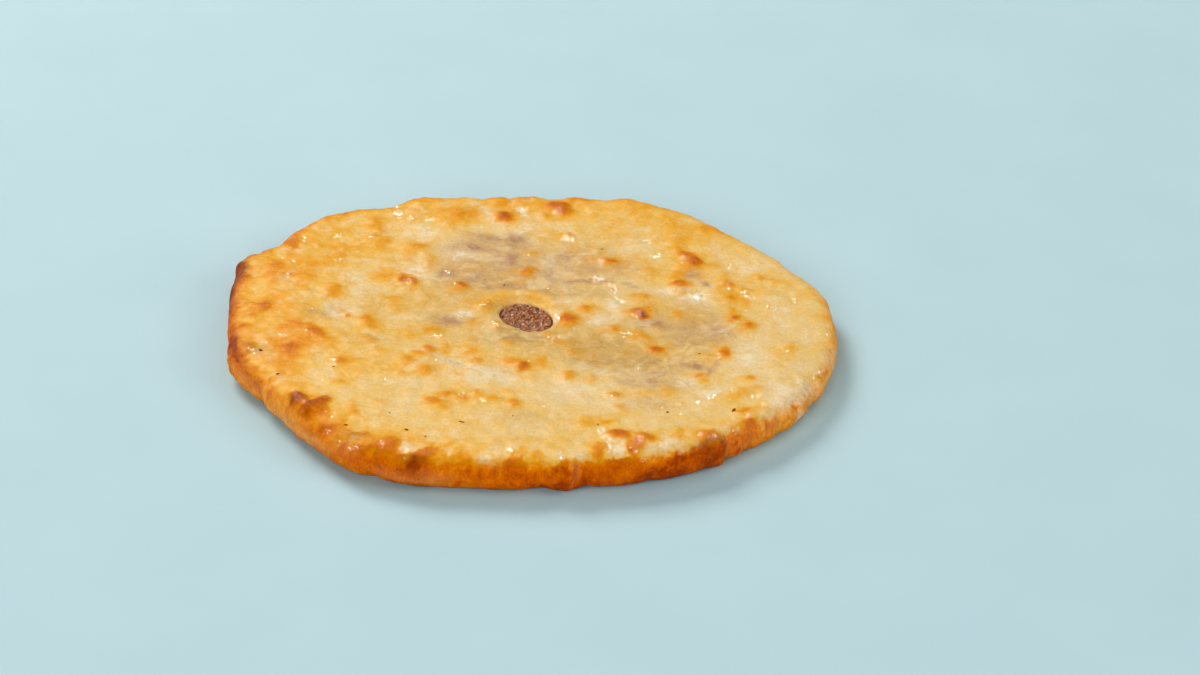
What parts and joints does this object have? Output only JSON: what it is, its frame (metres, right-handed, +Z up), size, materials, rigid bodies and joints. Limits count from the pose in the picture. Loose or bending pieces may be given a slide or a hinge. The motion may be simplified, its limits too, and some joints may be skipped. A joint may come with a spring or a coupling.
{
  "type": "lobiani bean flatbread",
  "caption": "Round flat bread of soft dough closed round a layer of mashed beans, unevenly browned and buttered, with a steam vent in its top.",
  "frame": {"origin": "middle of the bread's outline, on the surface that it rests on", "axes": "+Z up through the bread, +X along its longest width, and its most browned stretch of rim faces -Y"},
  "size_m": [0.2399, 0.2161, 0.0165],
  "materials": {
    "dough": "thin baked dough, cream to golden brown, with a glossy coat of melted butter",
    "bean_filling": "moist grainy mash of red beans"
  },
  "bodies": {
    "root": {"dough": "dough", "bean_filling": "bean_filling"}
  },
  "joints": []
}
